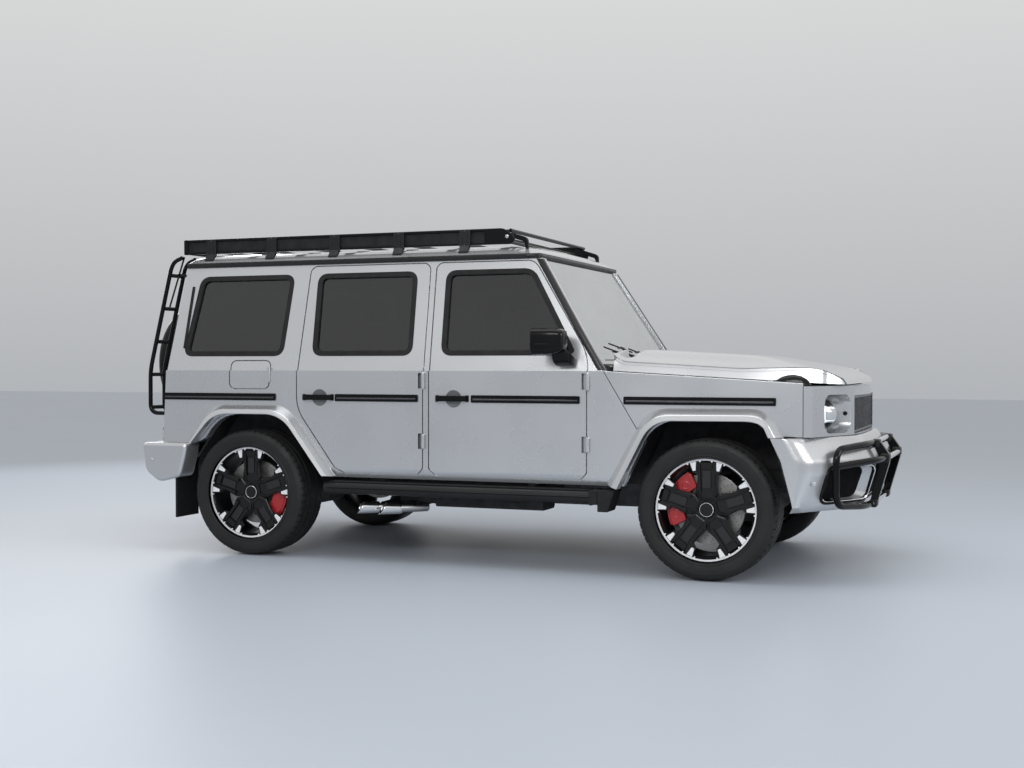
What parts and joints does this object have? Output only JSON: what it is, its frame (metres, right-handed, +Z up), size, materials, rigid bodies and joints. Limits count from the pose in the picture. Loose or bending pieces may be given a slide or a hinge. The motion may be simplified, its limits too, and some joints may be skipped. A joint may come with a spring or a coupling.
{
  "type": "off-road 4x4 station wagon",
  "caption": "Boxy off-road 4x4 station wagon with side doors, roof rack, rear ladder, spare wheel on the rear door and a tubular brush guard.",
  "frame": {"origin": "on the ground under the middle of the whole vehicle", "axes": "+X forward, +Y to the vehicle's left, +Z up"},
  "size_m": [4.9103, 2.184, 2],
  "materials": {
    "body_paint": "metallic gloss",
    "glass": "tinted gloss",
    "screen_glass": "clear gloss",
    "black_trim": "satin",
    "gloss_black": "gloss",
    "lamp": "gloss",
    "red_lamp": "gloss",
    "rubber": "matte",
    "tyre_rubber": "matte",
    "alloy": "machined and black",
    "chassis_black": "satin",
    "cast": "rough",
    "steel": "bright",
    "inner_paint": "satin",
    "dash": "soft",
    "seat": "smooth"
  },
  "bodies": {
    "body": {"chassis_frame": "chassis_black", "floor_pan": "inner_paint", "body_side_right": "body_paint", "body_side_left": "body_paint", "roof_panel": "body_paint", "windscreen": "screen_glass", "quarter_windows": "glass", "fenders": "body_paint", "cowl": "black_trim", "wipers": "black_trim", "front_panel": "body_paint", "grille": "gloss_black", "front_lamps": "lamp", "front_bumper": "body_paint", "brush_guard": "gloss_black", "rear_frame": "body_paint", "rear_bumper": "body_paint", "tail_lamps": "red_lamp", "arch_flares": "body_paint", "running_boards": "black_trim", "mud_flaps": "rubber", "exhaust": "steel", "roof_rack": "gloss_black", "engine_block": "cast", "driveline": "cast", "fuel_tank": "black_trim", "front_suspension": "chassis_black", "rear_axle": "cast", "dashboard": "dash", "front_seats": "seat", "rear_seats": "seat"},
    "front_door_right": {"door_front_right": "body_paint", "glass_front_right": "glass", "mirror_right": "gloss_black"},
    "rear_side_door_right": {"door_rear_right": "body_paint", "glass_rear_right": "glass"},
    "front_door_left": {"door_front_left": "body_paint", "glass_front_left": "glass", "mirror_left": "gloss_black"},
    "rear_side_door_left": {"door_rear_left": "body_paint", "glass_rear_left": "glass"},
    "tail_door": {"rear_door": "body_paint", "rear_door_glass": "glass", "spare_wheel": "gloss_black", "ladder": "gloss_black"},
    "bonnet_lid": {"bonnet": "body_paint"},
    "filler_flap": {"fuel_flap": "body_paint"},
    "steer_right": {"knuckle_right": "cast"},
    "steer_left": {"knuckle_left": "cast"},
    "front_wheel_right": {"wheel_front_right": "alloy", "tyre_front_right": "tyre_rubber"},
    "front_wheel_left": {"wheel_front_left": "alloy", "tyre_front_left": "tyre_rubber"},
    "rear_wheel_right": {"wheel_rear_right": "alloy", "tyre_rear_right": "tyre_rubber"},
    "rear_wheel_left": {"wheel_rear_left": "alloy", "tyre_rear_left": "tyre_rubber"}
  },
  "joints": [
    {"name": "front_door_right_hinge", "type": "hinge", "parent": "body", "child": "front_door_right", "pos_m": [0.849, -0.907, 1], "axis": [0, 0, 1], "range_deg": [0, 65]},
    {"name": "rear_side_door_right_hinge", "type": "hinge", "parent": "body", "child": "rear_side_door_right", "pos_m": [-0.176, -0.907, 1], "axis": [0, 0, 1], "range_deg": [0, 65]},
    {"name": "front_door_left_hinge", "type": "hinge", "parent": "body", "child": "front_door_left", "pos_m": [0.849, 0.907, 1], "axis": [0, 0, -1], "range_deg": [0, 65]},
    {"name": "rear_side_door_left_hinge", "type": "hinge", "parent": "body", "child": "rear_side_door_left", "pos_m": [-0.176, 0.907, 1], "axis": [0, 0, -1], "range_deg": [0, 65]},
    {"name": "tail_door_hinge", "type": "hinge", "parent": "body", "child": "tail_door", "pos_m": [-2.032, -0.747, 1], "axis": [0, 0, 1], "range_deg": [0, 80]},
    {"name": "bonnet_hinge", "type": "hinge", "parent": "body", "child": "bonnet_lid", "pos_m": [0.936, 0, 1.222], "axis": [0, -1, 0], "range_deg": [0, 50]},
    {"name": "filler_flap_hinge", "type": "hinge", "parent": "body", "child": "filler_flap", "pos_m": [-1.231, -0.9, 1.12], "axis": [0, 0, 1], "range_deg": [0, 90]},
    {"name": "steer_right", "type": "hinge", "parent": "body", "child": "steer_right", "pos_m": [1.54, -0.745, 0.3905], "axis": [0, 0, 1], "range_deg": [-30, 30]},
    {"name": "steer_left", "type": "hinge", "parent": "body", "child": "steer_left", "pos_m": [1.54, 0.745, 0.3905], "axis": [0, 0, 1], "range_deg": [-30, 30]},
    {"name": "front_wheel_right_spin", "type": "hinge", "parent": "steer_right", "child": "front_wheel_right", "pos_m": [1.54, -0.8255, 0.3905], "axis": [0, 1, 0], "continuous": true},
    {"name": "front_wheel_left_spin", "type": "hinge", "parent": "steer_left", "child": "front_wheel_left", "pos_m": [1.54, 0.8255, 0.3905], "axis": [0, 1, 0], "continuous": true},
    {"name": "rear_wheel_right_spin", "type": "hinge", "parent": "body", "child": "rear_wheel_right", "pos_m": [-1.35, -0.8255, 0.3905], "axis": [0, 1, 0], "continuous": true},
    {"name": "rear_wheel_left_spin", "type": "hinge", "parent": "body", "child": "rear_wheel_left", "pos_m": [-1.35, 0.8255, 0.3905], "axis": [0, 1, 0], "continuous": true}
  ],
  "couplings": [
    {"joint": "steer_left", "follows": "steer_right", "ratio": 1}
  ]
}
